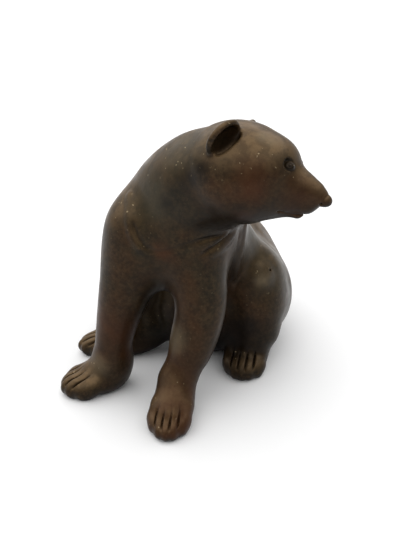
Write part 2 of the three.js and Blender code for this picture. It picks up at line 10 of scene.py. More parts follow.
import bpy
import numpy as np
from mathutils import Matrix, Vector


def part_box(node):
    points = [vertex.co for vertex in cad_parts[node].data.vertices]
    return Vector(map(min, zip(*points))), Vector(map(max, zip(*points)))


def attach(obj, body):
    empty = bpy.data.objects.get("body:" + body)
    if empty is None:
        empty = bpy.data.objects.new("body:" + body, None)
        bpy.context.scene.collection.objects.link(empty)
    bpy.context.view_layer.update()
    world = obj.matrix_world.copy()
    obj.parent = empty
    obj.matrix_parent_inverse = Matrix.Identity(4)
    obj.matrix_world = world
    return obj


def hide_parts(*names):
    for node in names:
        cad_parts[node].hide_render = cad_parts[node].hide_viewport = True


MM = 0.001

# Half the way through a cube from corner to corner, in edges
HALF_DIAGONAL = math.sqrt(3) / 2

# Grid that the surface is found on: its cells, the cells along a block and a smaller block, and its margins
CELL = 1.15
BLOCK = 16
SUB_BLOCK = 4
MARGIN_CELLS = 2
GROUND_MARGIN_CELLS = 2.5
STEEPEST = 1.3
FAR = 1000.0
TINY = 1e-9

# How the points then settle on the clay, with probes a share of a cell away, and the most triangles kept
PROJECTIONS = 2
PROBE_SHARE = 0.25
LEAST_STEEPNESS = 0.3
TRIANGLE_LIMIT = 190_000

# Places on the surface that are modelled more finely still
EYE_REACH = 11
MUZZLE_TIP = dict(place=(50, 0, -13), reach=22)
PAW_FRONT = dict(ahead=0.85, high=8, reach=30)
HOLE_REACH = 5

# Fineness of the curves through the limbs
STATIONS_PER_SPAN = 3
CURVE_ROUNDS = 2
LEAST_SPEED_SHARE = 0.3

# Trunk
RUMP = dict(centre=(-3, 8, 57), axis=(1, 0, 0), radii=(69, 68, 63), blend=30)
BACK = dict(joints=((-5, -4, 78, 50), (20, -95, 155, 47)), blend=34)
CHEST = dict(centre=(26, -113, 160), axis=(0, -1, 0), radii=(50, 45, 60), blend=28)
BELLY = dict(centre=(16, -46, 42), axis=(0, -1, 0.2), radii=(56, 58, 50), blend=24)
FLANK = dict(joints=((42, -94, 148, 34), (48, -60, 113, 34.5), (49, -32, 82, 31)), blend=20)
NECK = dict(joints=((28, -105, 165, 44.5), (55, -122, 204.5, 48), (94, -134, 231, 42)), blend=28)

# Head: places on it are forward, to the bear's left and up from its centre
HEAD = dict(centre=(116, -138, 233), yaw=97, pitch=-6, roll=-12)
SKULL = dict(centre=(0, 0, 0), radii=(33, 35, 36), blend=20)
BROW = dict(centre=(17, 0, 9.5), radii=(19, 26, 22.5), blend=12)
MUZZLE = dict(joints=((14, 0, -2.5, 27.5), (35, 0, -2, 18.8), (50, 0, -3.2, 12.2), (57, 0, -4.5, 9),
                      (60.3, 0, -5.2, 6.8), (62, 0, -5.8, 5)), blend=6)
LIP = dict(joints=((18, 0, -13, 16), (47.5, 0, -13, 8)), blend=8)
JAW = dict(joints=((10, 0, -20, 13), (41.5, 0, -20.5, 6)), blend=3)
NOSE = dict(centre=(60, 0, -6.8), radii=(6.5, 5, 3), blend=5)
EYE = dict(centre=(32.2, 16.4, 17.8), outward=(0.4, 0.72, 0.56), lid_line=(0.9, -0.35, -0.1))
SOCKET = dict(radii=(7.6, 5.6, 3), blend=1.2)
EYEBALL = dict(radius=5.2, depth=5.4, blend=0.6)
IRIS = dict(radius=2.6, hollow=0.7, blend=0.4)
PUPIL = dict(radius=1.2, depth=0.9, blend=0.4)
MOUTH = dict(joints=((29, -13, -21, 1), (38, -8, -23, 1.2), (46, -4, -22, 1.2), (48, 0, -21, 1.2),
                     (46, 4, -22, 1.2), (38, 8, -23, 1.2), (29, 13, -21, 1)), blend=1)
NOSTRIL = dict(centre=(60, 4.8, -8), radii=(1.9, 1.1, 1.2), blend=0.8)
EAR = dict(centre=(-23.5, 27, 28.5), along=(0.46, -0.42, 0.78), outward=(-0.1, 0.8, 0.6))
EAR_SHELL = dict(radii=(17, 13.5, 6), blend=4)
EAR_HOLLOW = dict(radii=(14.5, 11, 6), shift=5, blend=2)
EAR_DROP = {-1: 0, 1: 4}

# Legs, left and right. Joints are the middle of a limb and its radius there
HIND_LEGS = (
    dict(thigh=dict(centre=(61, -20, 53), axis=(0.45, -1, 0.5), radii=(60, 38, 45), blend=28),
         shin=dict(joints=((74, -48, 90, 24), (80, -56, 62, 23), (82, -60, 36, 20)), blend=20),
         foot=dict(heel=(72, -50, 0), yaw=18, length=55.5, width=42, height=31)),
    dict(thigh=dict(centre=(-52, -30, 62), axis=(-0.1, -1, 0.5), radii=(66, 38, 44), blend=20),
         shin=dict(joints=((-42, -86, 94, 26), (-34, -92, 62, 23), (-26, -94, 34, 18)), blend=16),
         foot=dict(heel=(-15, -84, 0), yaw=-51, length=84, width=42, height=34)),
)
FRONT_LEG_BLEND = 19
FRONT_LEGS = (
    dict(joints=((49, -133, 160, 31), (66, -140.5, 106, 24), (63, -151, 62, 21), (55.5, -165.5, 28, 15.5)),
         foot=dict(heel=(51.5, -159.5, 0), yaw=22, length=67, width=39.5, height=31)),
    dict(joints=((7, -141, 159, 36), (-3, -159, 106, 25), (-12, -166, 62, 18.5), (-16, -168, 28, 17.5)),
         foot=dict(heel=(-12, -156, 0), yaw=-35, length=62.5, width=44, height=31)),
)

# Paws: ahead is a share of the reach, aside of the distance between toes, high of the height
PAW = dict(toes=5, outer_toe_shorter=0.19, ankle_inset=1, blend=13)
INSTEP = dict(place=(0.36, 0, 0.5), radius=0.45)
PAD = dict(place=(0.42, 0, 0.34), radii=(0.46, 0.47, 0.42))
TOE_ROOT = dict(place=(0.5, 0.8, 0.48), radius=0.62)
TOE_KNUCKLE = dict(place=(0.8, 0.88, 0.36), radius=0.7)
TOE_TIP = dict(place=(0.87, 0.87, 0.25), radii=(0.15, 0.62, 0.28))
TOE_BLEND = 6
TOE_GROOVE = dict(start=(0.68, 0.85, 0.74), end=(1.1, 0.9, 0.44), width=0.8, drop=0.12, blend=1.5)

# Folds in the skin: raised ones, then pressed ones, and the bump and casting hole on the left knee
RIDGE_BLEND = 5
RIDGES = dict(
    right_shoulder=(
        (4, -154, 197, 2.5), (11, -165.5, 186, 3.6), (14, -170, 178, 3.6),
        (19.5, -172.5, 168, 3.6), (25.5, -172.2, 159.5, 3), (30, -168, 151, 0.5)),
    upper_throat=(
        (74.4, -152.8, 165.3, 3), (80.5, -146.1, 169.9, 4), (86.8, -138.3, 175.2, 4)),
    lower_throat=(
        (78.5, -145.6, 156.5, 3), (81.9, -137.2, 159.5, 4), (84.5, -128, 163.4, 4), (87.4, -124.2, 170, 4)),
    flank=(
        (84, -95, 164, 3.5), (81, -92, 149.5, 4), (78, -91, 133.5, 4),
        (73.5, -88, 118.5, 4), (69.5, -82, 103, 3)),
)
# A radius below zero only grazes the surface: the fold is as wide as its blend, and shallow
CREASE_BLEND = 6
CREASES = dict(
    neck_base=(
        (12, -166, 190, -3), (20.2, -174, 175, -0.6), (27.5, -175, 165, -0.4), (36.3, -173, 159, -0.6),
        (45.1, -171, 158.9, -1), (61.6, -166, 165.8, -1.2), (74.5, -158, 171.5, -0.6), (88, -143, 174, -0.6)),
    throat=(
        (74, -158, 156, -3), (79, -151, 160, -0.5), (84, -143, 164.5, -0.2), (89, -134, 171, -0.4)),
    left_arm=(
        (92, -114, 173, -3), (87.3, -106.3, 161.7, -0.6), (85, -104.5, 152.5, -0.4), (82, -102, 140.8, -0.4),
        (78.9, -101.1, 130.5, -0.4), (73.9, -95.4, 116.4, -0.6), (68.4, -88.8, 101.5, -1), (64, -85, 88, -3)),
    knee=(
        (77.5, -81, 108, -3), (76, -82.5, 104, -0.8), (73.1, -83.3, 97, -0.6), (70, -83.5, 86, -3)),
)
KNEE = dict(centre=(85.3, -64, 99), axis=(0.66, -0.66, 0.36), radii=(11, 11, 12), blend=10)
CASTING_HOLE = dict(centre=(95.5, -58.8, 105.5), axis=(0.83, -0.22, 0.51), radii=(3.5, 1.2, 1.2), blend=0.6)

# Patina: noises of a size in metres, and the values between which each comes in
CLOUD = dict(size=0.05, detail=4.0, roughness=0.6, low=0.36, high=0.64)
MOTTLE = dict(size=0.012, detail=4.0, roughness=0.65, offset=3.0, low=0.35, high=0.65)
GRAIN = dict(size=0.0035, detail=3.0, roughness=0.7, offset=13.0, low=0.38, high=0.68)
FLECKS = dict(size=0.0028, detail=1.0, roughness=0.5, offset=11.0, low=0.7, high=0.76)
GLOSS = dict(size=0.02, detail=3.0, roughness=0.6, offset=5.0, low=0.3, high=0.7, to_low=0.3, to_high=0.46)
METALLIC = 0.28
SPECULAR = 0.14

# Its colours as a screen shows them. Layers come in by steps, by the way that the surface faces or bends.
# A step is the two ends of a value and then, if not 0 and 1, the shares there
BROWN = (43, 37, 26)
WARM_BROWN = (54, 37, 22)
MOTTLED = dict(colour=(27, 22, 16), share=0.55)
# Paler on what faces up: partly dust, partly painted light from the lamp above
DUST_AND_TOP_LIGHT = dict(colour=(108, 88, 63), upward=(0.1, 0.95), mottled=(0.0, 1.0, 0.9, 0.45))
WORN = dict(colour=(86, 68, 48), bend=(0.49, 0.53, 0.12, 0.45))
# Pale specks on what faces up, partly painted glints of the light above
SPECKS_AND_GLINTS = dict(colour=(168, 150, 118), upward=(0.0, 0.7, 0.0, 0.6))
# Painted shade on what faces down, and darker in the hollows, in one dark colour
UNDER_SHADE_AND_HOLLOWS = dict(colour=(13, 10, 7), upward=(-0.9, 0.1, 0.85, 0.0), bend=(0.42, 0.49, 0.35, 0.0))
EYE_SHADE = dict(share=0.75, full=3, last=8.5)

# Its patches, of patina and of painted shade and highlights: a colour, how much of it, and places with the
# reach of its full and its last tone.
# The first value is the step by which the clouds break them up
PATCH_BREAKS = (0.0, 1.0, 0.55, 1.0)
PATCHES = dict(
    olive=dict(colour=(56, 54, 42), share=0.6, spots=(
        ((55, -155, 249), 5, 50), ((31, -160, 207), 10, 45), ((90, -30, 130), 20, 80))),
    red=dict(colour=(66, 39, 23), share=0.65, spots=(
        ((132, -169, 238), 2, 30), ((163, -150, 228), 5, 30), ((122, -167, 207), 1, 14),
        ((45, -170, 159), 1, 16), ((70, -176, 40), 5, 60), ((78, -204, 14), 15, 45),
        ((-14, -166, 60), 5, 60))),
    # Painted shade: down the neck behind the ear, under the belly, low between the left legs and between the
    # front legs
    dark=dict(colour=UNDER_SHADE_AND_HOLLOWS["colour"], share=0.8, spots=(
        ((84, -172, 244), 0, 16), ((76, -173, 234), 0, 17), ((68, -172, 225), 0, 18),
        ((60, -171, 216), 0, 17), ((52, -170, 206), 0, 15), ((20, -60, 20), 45, 80),
        ((80, -80, 34), 15, 45), ((0, -120, 70), 10, 40))),
    # Painted highlights on the forehead, the left knee and the right front paw, and a pale streak on the left
    # front leg
    pale=dict(colour=(122, 108, 86), share=0.5, spots=(
        ((127, -145, 269), 0, 11), ((133, -145, 267), 0, 9), ((95, -71, 101), 1, 13),
        ((-20, -188, 33), 2, 18), ((54, -168, 73), 2, 20))),
)

# Unevenness of the cast skin: how much of each noise, and the height of both in metres
SWELL = dict(size=0.009, detail=2.0, roughness=0.5, offset=7.0)
SWELL_SHARE = 0.8
GRIT = dict(size=0.0016, detail=2.0, roughness=0.6, offset=9.0)
GRIT_SHARE = 0.12
BUMP = {"Strength": 0.5, "Distance": 0.0006}

# Studio
FLOOR = dict(size=12, colour=(245, 245, 245), roughness=0.9)
KEY_LIGHT = dict(direction=(-0.3, 0.1, 1), angle=120, strength=3.0)
SKY_STRENGTH = 0.45
SCREEN_WHITE = 255
SCREEN_GAMMA = 2.2

# Sockets for colours in the mix node, which has others of the same names
MIX_COLOURS = (6, 7)
MIX_RESULT = 2

# Camera, as the photograph was taken: the point in the middle of the picture, and where from
TARGET = (26.7, -64.1, 86.9)
CAMERA_TURN = 30
CAMERA_RISE = 27
CAMERA_DISTANCE = 900
SENSOR = 36
FOCAL_PIXELS = 900
PICTURE_HEIGHT = 547


def unit(values):
    values = np.asarray(values, float)
    return values / np.linalg.norm(values)


def smooth_min(a, b, width):
    near = np.maximum(width - np.abs(a - b), 0) / width
    return np.minimum(a, b) - near * near * width / 4


def facing(yaw, pitch=0, roll=0):
    """Columns forward, left and up of something that looks yaw degrees to its left and pitch upwards."""
    yaw, pitch, roll = map(math.radians, (yaw, pitch, roll))
    forward = np.array((math.sin(yaw) * math.cos(pitch), -math.cos(yaw) * math.cos(pitch), math.sin(pitch)))
    level = np.array((math.cos(yaw), math.sin(yaw), 0))
    upright = np.cross(forward, level)
    left = level * math.cos(roll) + upright * math.sin(roll)
    return np.stack((forward, left, np.cross(forward, left)), 1)


def beyond(end, following):
    """A joint past the end of a limb: straight on, and as wide as the one before the end."""
    return (*(2 * end - following)[:3], following[3])


class LimbPath:
    """A smooth curve through joints (x, y, z, radius), whose radius levels out at its ends."""

    def __init__(self, joints):
        joints = np.asarray(joints, float)
        rows = np.array((beyond(joints[0], joints[1]), *joints, beyond(joints[-1], joints[-2])))
        self.spans = len(joints) - 1
        self.terms = np.array([(2 * b, c - a, 2 * a - 5 * b + 4 * c - d, 3 * b - a - 3 * c + d)
                               for a, b, c, d in zip(rows, rows[1:], rows[2:], rows[3:])]) / 2
        self.shares = np.arange(self.spans * STATIONS_PER_SPAN + 1) / STATIONS_PER_SPAN
        self.stations = self.at(self.shares)[0]

    def at(self, share):
        """Values, slope and bend of the curve at a share that counts the spans."""
        span = np.minimum(share.astype(int), self.spans - 1)
        u = (share - span)[..., None]
        k0, k1, k2, k3 = (self.terms[span, i] for i in range(4))
        return k0 + u * (k1 + u * (k2 + u * k3)), k1 + u * (2 * k2 + 3 * u * k3), 2 * k2 + 6 * u * k3

    def nearest(self, points):
        """The share nearest to each point: first on straight pieces, then on the curve itself."""
        least = np.full(len(points), np.inf)
        share = np.zeros(len(points))
        for i, (start, end) in enumerate(zip(self.stations[:-1, :3], self.stations[1:, :3])):
            step = end - start
            u = np.clip((points - start) @ step / (step @ step), 0, 1)
            off = points - start - u[:, None] * step
            away = np.einsum("ij,ij->i", off, off)
            closer = away < least
            share = np.where(closer, self.shares[i] + u / STATIONS_PER_SPAN, share)
            least = np.where(closer, away, least)
        for _ in range(CURVE_ROUNDS):
            values, slope, bend = self.at(share)
            off, slope, bend = values[:, :3] - points, slope[:, :3], bend[:, :3]
            speed = np.einsum("ij,ij->i", slope, slope)
            turn = np.maximum(speed + np.einsum("ij,ij->i", off, bend), LEAST_SPEED_SHARE * speed)
            share = np.clip(share - np.einsum("ij,ij->i", off, slope) / turn, 0, self.spans)
        return share


# A lump's distance is a call that takes points, and its reach is how far it goes from its centre
Lump = namedtuple("Lump", "distance centre reach blend carve")


class Clay:
    """Lumps that melt together in order. A carving lump is taken away instead."""

    def __init__(self):
        self.lumps = []

    def egg(self, centre, axis, radii, blend, up=(0, 0, 1), carve=False):
        """An ellipsoid with radii along its axis, across it and towards up."""
        centre = np.asarray(centre, float)
        radii = np.asarray(radii, float)
        along = unit(axis)
        across = unit(np.cross(up, along))
        axes = np.stack((along, across, np.cross(along, across)), 1) / radii

        def distance(points):
            shares = (points - centre) @ axes
            near = np.sqrt(np.einsum("ij,ij->i", shares, shares))
            shares = shares / radii
            nearer = np.sqrt(np.einsum("ij,ij->i", shares, shares))
            return near * (near - 1) / np.maximum(nearer, TINY)

        self.lumps.append(Lump(distance, centre, radii.max(), blend, carve))

    def limb(self, joints, blend, carve=False):
        """A limb along a smooth curve through its joints."""
        path = LimbPath(joints)

        def distance(points):
            values = path.at(path.nearest(points))[0]
            off = points - values[:, :3]
            return np.sqrt(np.einsum("ij,ij->i", off, off)) - values[:, 3]

        low, high = path.stations.min(0), path.stations.max(0)
        reach = np.linalg.norm(high[:3] - low[:3]) / 2 + high[3]
        self.lumps.append(Lump(distance, (low[:3] + high[:3]) / 2, reach, blend, carve))

    def depth(self, points, chosen):
        """Below zero inside the casting, which ends at the ground, from the chosen lumps."""
        depth = np.full(len(points), FAR)
        for number in chosen:
            lump = self.lumps[number]
            away = lump.distance(points)
            if lump.carve:
                depth = -smooth_min(-depth, away, lump.blend)
            else:
                depth = smooth_min(depth, away, lump.blend)
        return np.maximum(depth, -points[:, 2])

    def freeze(self):
        """Keeps where every lump is, for near(), and a box round them all that stands on the ground."""
        self.centres = np.array([lump.centre for lump in self.lumps])
        self.reaches = np.array([lump.reach + lump.blend for lump in self.lumps])
        solid = [lump for lump in self.lumps if not lump.carve]
        self.low = np.min([lump.centre - lump.reach for lump in solid], axis=0)
        self.high = np.max([lump.centre + lump.reach for lump in solid], axis=0)
        self.low[2] = 0

    def near(self, place, radius):
        """The numbers of the lumps that may matter within a radius of a place."""
        away = np.linalg.norm(self.centres - place, axis=1)
        return np.flatnonzero(away < self.reaches + radius)


def add_trunk(clay):
    clay.egg(**RUMP)
    clay.limb(**BACK)
    clay.egg(**CHEST)
    clay.egg(**BELLY)
    clay.limb(**FLANK)
    clay.limb(**NECK)


class HeadMap:
    """Turns directions and places on the head, mirrored for its right side, into the casting's own."""

    def __init__(self, side):
        self.axes = facing(HEAD["yaw"], HEAD["pitch"], HEAD["roll"])
        self.mirror = np.array((1, side, 1))
        self.forward = self.axes[:, 0]
        self.up = self.axes[:, 2]

    def direction(self, values):
        return self.axes @ (np.asarray(values, float) * self.mirror)

    def place(self, values):
        return np.asarray(HEAD["centre"]) + self.direction(values)

    def joints(self, rows):
        return [(*self.place(row[:3]), row[3]) for row in rows]


def add_head(clay):
    head = HeadMap(1)
    for part in (SKULL, BROW):
        clay.egg(head.place(part["centre"]), head.forward, part["radii"], part["blend"], up=head.up)
    for part in (MUZZLE, LIP, JAW):
        clay.limb(head.joints(part["joints"]), part["blend"])
    clay.egg(head.place(NOSE["centre"]), head.forward, NOSE["radii"], NOSE["blend"], up=head.up)
    clay.limb(head.joints(MOUTH["joints"]), MOUTH["blend"], carve=True)
    for side in (-1, 1):
        head = HeadMap(side)
        add_eye(clay, head)
        clay.egg(head.place(NOSTRIL["centre"]), head.forward, NOSTRIL["radii"], NOSTRIL["blend"],
                 up=head.up, carve=True)
        add_ear(clay, head, side)


def add_eye(clay, head):
    outward = unit(head.direction(EYE["outward"]))
    lid_line = head.direction(EYE["lid_line"])
    centre = head.place(EYE["centre"])
    clay.egg(centre, lid_line, SOCKET["radii"], SOCKET["blend"], up=outward, carve=True)
    clay.egg(centre - outward * EYEBALL["depth"], lid_line, (EYEBALL["radius"],) * 3, EYEBALL["blend"])
    front = centre + outward * (EYEBALL["radius"] - EYEBALL["depth"])
    clay.egg(front, lid_line, (IRIS["radius"], IRIS["radius"], IRIS["hollow"]), IRIS["blend"],
             up=outward, carve=True)
    clay.egg(front - outward * PUPIL["depth"], lid_line, (PUPIL["radius"],) * 3, PUPIL["blend"])


def add_ear(clay, head, side):
    """A shell on the side of the head, hollowed towards the front."""
    along = head.direction(EAR["along"])
    face = unit(np.cross(head.direction(EAR["outward"]), along) * side)
    centre = head.place(EAR["centre"]) - (0, 0, EAR_DROP[side])
    clay.egg(centre, along, EAR_SHELL["radii"], EAR_SHELL["blend"], up=face)
    clay.egg(centre + face * EAR_HOLLOW["shift"], along, EAR_HOLLOW["radii"], EAR_HOLLOW["blend"],
             up=face, carve=True)


def add_paw(clay, ankle, heel, yaw, length, width, height):
    """A paw flat on the ground: instep, pad, toes side by side and the grooves between them."""
    forward, left = facing(yaw)[:, :2].T
    toes = PAW["toes"]
    pitch = width / toes

    def at(place, row=0):
        ahead, aside, high = place
        reach = length * (1 - PAW["outer_toe_shorter"] * (2 * row / (toes - 1)) ** 2)
        return heel + forward * ahead * reach + left * aside * row * pitch + (0, 0, high * height)

    def sized(radii, across):
        return radii[0] * length, radii[1] * across, radii[2] * height

    ankle_joint = (*ankle[:3], ankle[3] - PAW["ankle_inset"])
    instep_joint = (*at(INSTEP["place"]), INSTEP["radius"] * height)
    clay.limb((ankle_joint, instep_joint), PAW["blend"])
    clay.egg(at(PAD["place"]), forward, sized(PAD["radii"], width), PAW["blend"])
    for row in np.arange(toes) - (toes - 1) / 2:
        clay.limb([(*at(joint["place"], row), joint["radius"] * pitch) for joint in (TOE_ROOT, TOE_KNUCKLE)],
                  TOE_BLEND)
        clay.egg(at(TOE_TIP["place"], row), forward, sized(TOE_TIP["radii"], pitch), TOE_BLEND)
    for row in np.arange(toes - 1) - (toes - 2) / 2:
        start, end = at(TOE_GROOVE["start"], row), at(TOE_GROOVE["end"], row)
        radii = np.linalg.norm(end - start) / 2, TOE_GROOVE["width"], TOE_GROOVE["drop"] * height
        clay.egg((start + end) / 2, end - start, radii, TOE_GROOVE["blend"], carve=True)


def add_legs(clay):
    for leg in HIND_LEGS:
        clay.egg(**leg["thigh"])
        clay.limb(**leg["shin"])
        add_paw(clay, leg["shin"]["joints"][-1], **leg["foot"])
    for leg in FRONT_LEGS:
        clay.limb(leg["joints"], FRONT_LEG_BLEND)
        add_paw(clay, leg["joints"][-1], **leg["foot"])


def add_folds(clay):
    clay.egg(**KNEE)
    for joints in RIDGES.values():
        clay.limb(joints, RIDGE_BLEND)
    for joints in CREASES.values():
        clay.limb(joints, CREASE_BLEND, carve=True)
    clay.egg(**CASTING_HOLE, carve=True)


def model_bear():
    clay = Clay()
    add_trunk(clay)
    add_head(clay)
    add_legs(clay)
    add_folds(clay)
    clay.freeze()
    return clay


def sample_depth(clay, cell):
    """The depth on a cubic grid, exact near the surface and only of the right sign elsewhere."""
    low = clay.low - np.array((MARGIN_CELLS, MARGIN_CELLS, GROUND_MARGIN_CELLS)) * cell
    span = BLOCK * cell
    reach = span * HALF_DIAGONAL
    counts = np.ceil((clay.high + MARGIN_CELLS * cell - low) / span).astype(int)
    grid = np.full(counts * BLOCK + 1, FAR, np.float32)
    for block in np.ndindex(*counts):
        corner = low + np.array(block) * span
        middle = corner + span / 2
        chosen = clay.near(middle, reach)
        if len(chosen) == 0:
            continue
        values = clay.depth(middle[None], chosen)[0]
        if abs(values) <= (reach + cell) * STEEPEST:
            values = depth_in_block(clay, chosen, corner, cell)
        where = tuple(slice(i * BLOCK, i * BLOCK + BLOCK + 1) for i in block)
        fill_nearer(grid, where, values)
    return grid, low


def depth_in_block(clay, chosen, corner, cell):
    """The depth in a block, exact in the smaller blocks that the surface may pass through."""
    span = SUB_BLOCK * cell
    reach = span * HALF_DIAGONAL
    count = BLOCK // SUB_BLOCK
    middles = np.stack(np.indices((count,) * 3), -1).reshape(-1, 3) * span + span / 2
    rough = clay.depth(corner + middles, chosen).reshape((count,) * 3)
    values = np.pad(enlarge(rough), ((0, 1),) * 3, mode="edge")
    wanted = np.pad(enlarge(np.abs(rough) < (reach + cell) * STEEPEST), ((0, 1),) * 3)
    for axis in range(3):
        wanted |= np.roll(wanted, 1, axis)
    cells = np.argwhere(wanted)
    if len(cells):
        values[wanted] = clay.depth(corner + cells * cell, chosen)
    return values


def enlarge(values):
    """The same value for every cell of a smaller block."""
    for axis in range(3):
        values = np.repeat(values, SUB_BLOCK, axis)
    return values


def fill_nearer(grid, where, values):
    """Blocks share their faces, where the value nearer to the surface is the exact one."""
    old = grid[where]
    grid[where] = np.where(np.abs(old) < np.abs(values), old, values)


def surface_nets(grid, low, cell):
    """Points and four-sided faces of a closed surface where the grid changes sign, faces outwards."""
    inside = grid < 0
    size = np.array(grid.shape)
    count = np.zeros(size - 1, np.int8)
    total = np.zeros((*(size - 1), 3), np.float32)
    for axis in range(3):
        first, second = (other for other in range(3) if other != axis)
        for u, v in np.ndindex(2, 2):
            start = [0, 0, 0]
            start[first], start[second] = u, v
            end = list(start)
            end[axis] = 1
            a, b = (grid[tuple(slice(i, i + n - 1) for i, n in zip(corner, size))]
                    for corner in (start, end))
            crossed = (a < 0) != (b < 0)
            share = np.where(crossed, a / np.where(crossed, a - b, 1), 0)
            count += crossed
            total[..., axis] += share
            total[..., first] += u * crossed
            total[..., second] += v * crossed
    used = count > 0
    number = np.full(used.shape, -1, np.int64)
    number[used] = np.arange(used.sum())
    points = (np.argwhere(used) + total[used] / count[used][:, None]) * cell + low
    faces = [faces_across(inside, number, axis) for axis in range(3)]
    return points, np.concatenate(faces)


def faces_across(inside, number, axis):
    """One face round each grid edge along the axis that the surface crosses."""
    near = [slice(1, n - 1) for n in inside.shape]
    far = list(near)
    near[axis] = slice(0, inside.shape[axis] - 1)
    far[axis] = slice(1, inside.shape[axis])
    here, there = inside[tuple(near)], inside[tuple(far)]
    crossed = np.argwhere(here != there)
    outwards = here[tuple(crossed.T)]
    steps = np.eye(3, dtype=int)
    u, v = steps[(axis + 1) % 3], steps[(axis + 2) % 3]
    base = crossed + u + v
    corners = [base - u - v, base - v, base, base - u]
    face = np.stack([number[tuple(corner.T)] for corner in corners], 1)
    face[~outwards] = face[~outwards][:, ::-1]
    return face


def settle(clay, points, cell):
    """Moves every point onto the clay's own surface, except on the ground."""
    span = BLOCK * cell
    blocks = np.floor(points / span).astype(int)
    order = np.lexsort(blocks.T)
    edges = np.flatnonzero(np.any(np.diff(blocks[order], axis=0), axis=1)) + 1
    nudges = np.concatenate((np.zeros((1, 3)), np.eye(3), -np.eye(3))) * cell * PROBE_SHARE
    for group in np.split(order, edges):
        chosen = clay.near((blocks[group[0]] + 0.5) * span, span * HALF_DIAGONAL + cell)
        if len(chosen) == 0:
            continue
        for _ in range(PROJECTIONS):
            probes = points[group] + nudges[:, None]
            depth = clay.depth(probes.reshape(-1, 3), chosen).reshape(len(nudges), -1)
            slope = (depth[1:4] - depth[4:7]).T / (2 * PROBE_SHARE * cell)
            steepness = np.maximum(np.einsum("ij,ij->i", slope, slope), LEAST_STEEPNESS)
            push = np.clip(depth[0] / steepness, -cell, cell)
            points[group] -= slope * push[:, None]
    points[:, 2] = np.maximum(points[:, 2], 0)


def fine_places():
    """Centres and reaches of the places with small carving, the finest first."""
    eyes = [(HeadMap(side).place(EYE["centre"]), EYE_REACH) for side in (-1, 1)]
    finest = [*eyes, (np.array(CASTING_HOLE["centre"]), HOLE_REACH)]
    fine = [*finest, (HeadMap(1).place(MUZZLE_TIP["place"]), MUZZLE_TIP["reach"])]
    for leg in (*HIND_LEGS, *FRONT_LEGS):
        foot = leg["foot"]
        ahead = facing(foot["yaw"])[:, 0] * foot["length"] * PAW_FRONT["ahead"]
        fine.append((foot["heel"] + ahead + (0, 0, PAW_FRONT["high"]), PAW_FRONT["reach"]))
    return finest, fine


def within(points, places):
    """Which points are within reach of any of the places."""
    chosen = np.zeros(len(points), bool)
    for centre, reach in places:
        chosen |= np.linalg.norm(points - centre, axis=1) < reach
    return chosen


def halve_edges(points, triangles, places):
    """Halves the edges near the places, and splits the triangles on both sides of each to match.

    A row holds the three corners of a triangle and the middles of its edges, or -1 where an edge stays
    whole. Each round splits at the first edge and then turns the rows to the next one.
    """
    edges = np.sort(triangles[:, [[0, 1], [1, 2], [2, 0]]], axis=2)
    keys, which = np.unique(edges[..., 0] * len(points) + edges[..., 1], return_inverse=True)
    middles = (points[keys // len(points)] + points[keys % len(points)]) / 2
    chosen = within(middles, places)
    number = np.full(len(keys), -1)
    number[chosen] = len(points) + np.arange(chosen.sum())
    rows = np.concatenate((triangles, number[which.reshape(-1, 3)]), axis=1)
    for _ in range(3):
        split = rows[:, 3] >= 0
        a, b, c, middle, next_middle, last_middle = rows[split].T
        none = np.full(len(a), -1)
        rows = np.concatenate((rows[~split],
                               np.stack((a, middle, c, none, none, last_middle), 1),
                               np.stack((middle, b, c, none, next_middle, none), 1)))
        rows = rows[:, [1, 2, 0, 4, 5, 3]]
    return np.concatenate((points, middles[chosen])), rows[:, :3]


def refine(clay, points, triangles, cell):
    """Models the small carving more finely, in two steps."""
    finest, fine = fine_places()
    for places in (fine, finest):
        points, triangles = halve_edges(points, triangles, places)
        cell /= 2
        chosen = within(points, places)
        moved = points[chosen]
        settle(clay, moved, cell)
        points[chosen] = moved
    return points, triangles


def fit_to_frame(points):
    """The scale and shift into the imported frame: to the solid's middle and inside its box."""
    low, high = (np.array(corner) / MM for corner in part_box("bear"))
    own_low, own_high = points.min(0), points.max(0)
    scale = min(1, *((high - low) / (own_high - own_low)))
    middle = (own_low + own_high) / 2 * (1, 1, 0)
    target = (low + high) / 2 * (1, 1, 0)
    return scale, target - middle * scale


def make_mesh(name, points, faces):
    mesh = bpy.data.meshes.new(name)
    mesh.vertices.add(len(points))
    mesh.vertices.foreach_set("co", points.astype(np.float32).ravel())
    mesh.loops.add(faces.size)
    mesh.loops.foreach_set("vertex_index", faces.astype(np.int32).ravel())
    mesh.polygons.add(len(faces))
    mesh.polygons.foreach_set("loop_start", np.arange(len(faces), dtype=np.int32) * faces.shape[1])
    mesh.update(calc_edges=True)
    piece = bpy.data.objects.new(name, mesh)
    bpy.context.scene.collection.objects.link(piece)
    return piece


def thin_out(piece, limit):
    """Joins edges until the piece has no more triangles than the limit, and shades it smoothly."""
    decimate = piece.modifiers.new("thin", "DECIMATE")
    decimate.ratio = min(1, limit / len(piece.data.polygons))
    bpy.context.view_layer.update()
    evaluated = piece.evaluated_get(bpy.context.evaluated_depsgraph_get())
    mesh = bpy.data.meshes.new_from_object(evaluated)
    piece.modifiers.clear()
    piece.data = mesh
    mesh.name = piece.name
    mesh.shade_smooth()


def make_bear():
    """The bear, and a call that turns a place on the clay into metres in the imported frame."""
    clay = model_bear()
    cell = CELL
    points, faces = surface_nets(*sample_depth(clay, cell), cell)
    settle(clay, points, cell)
    triangles = np.concatenate((faces[:, [0, 1, 2]], faces[:, [0, 2, 3]]))
    points, triangles = refine(clay, points, triangles, cell)
    scale, shift = fit_to_frame(points)

    def spot(place):
        return (np.asarray(place, float) * scale + shift) * MM

    bear = make_mesh("bronze_bear", spot(points), triangles)
    thin_out(bear, TRIANGLE_LIMIT)
    return bear, spot


